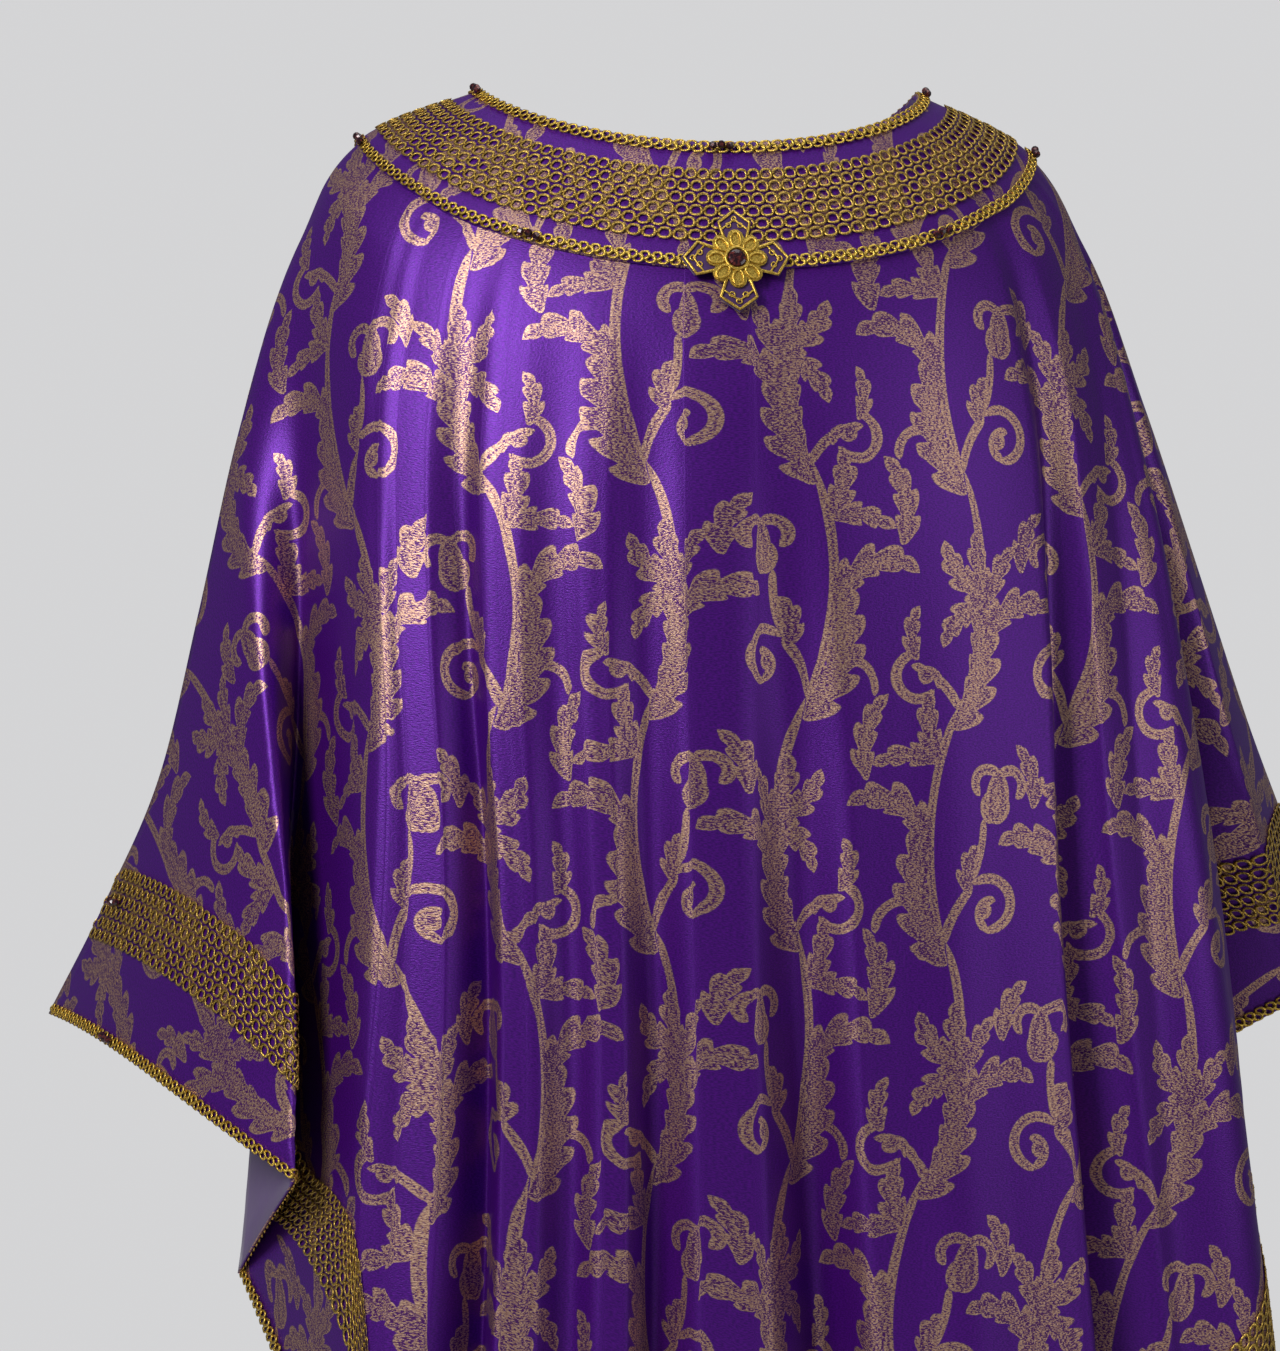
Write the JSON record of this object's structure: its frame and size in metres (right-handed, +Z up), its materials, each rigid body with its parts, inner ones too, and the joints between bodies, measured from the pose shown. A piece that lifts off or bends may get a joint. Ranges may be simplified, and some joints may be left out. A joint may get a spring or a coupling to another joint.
{
  "type": "gothic chasuble, worn form",
  "caption": "Full brocade chasuble in its worn, hollow form, with a round trimmed yoke, a cross at the back and wide lace along its outer edge.",
  "frame": {"origin": "middle of the neck opening at the height where the garment rests on the shoulders", "axes": "+Z up, -Y out of the wearer's back, +Y out of the wearer's chest, +X towards the wearer's right arm as seen from behind"},
  "size_m": [0.9035, 0.5051, 1.2788],
  "materials": {
    "brocade": "satin with metallic thread",
    "lace": "metallic thread",
    "gimp": "metallic thread",
    "stone": "faceted, nearly opaque"
  },
  "bodies": {
    "root": {"back_panel": "brocade", "front_panel": "brocade", "yoke": "brocade", "neck_gimp": "gimp", "yoke_gimp": "gimp", "back_edge_gimp": "gimp", "front_edge_gimp": "gimp", "yoke_lace": "lace", "back_edge_lace": "lace", "front_edge_lace": "lace", "cross": "gimp", "cross_rosette": "gimp", "cross_stone": "stone"}
  },
  "joints": []
}
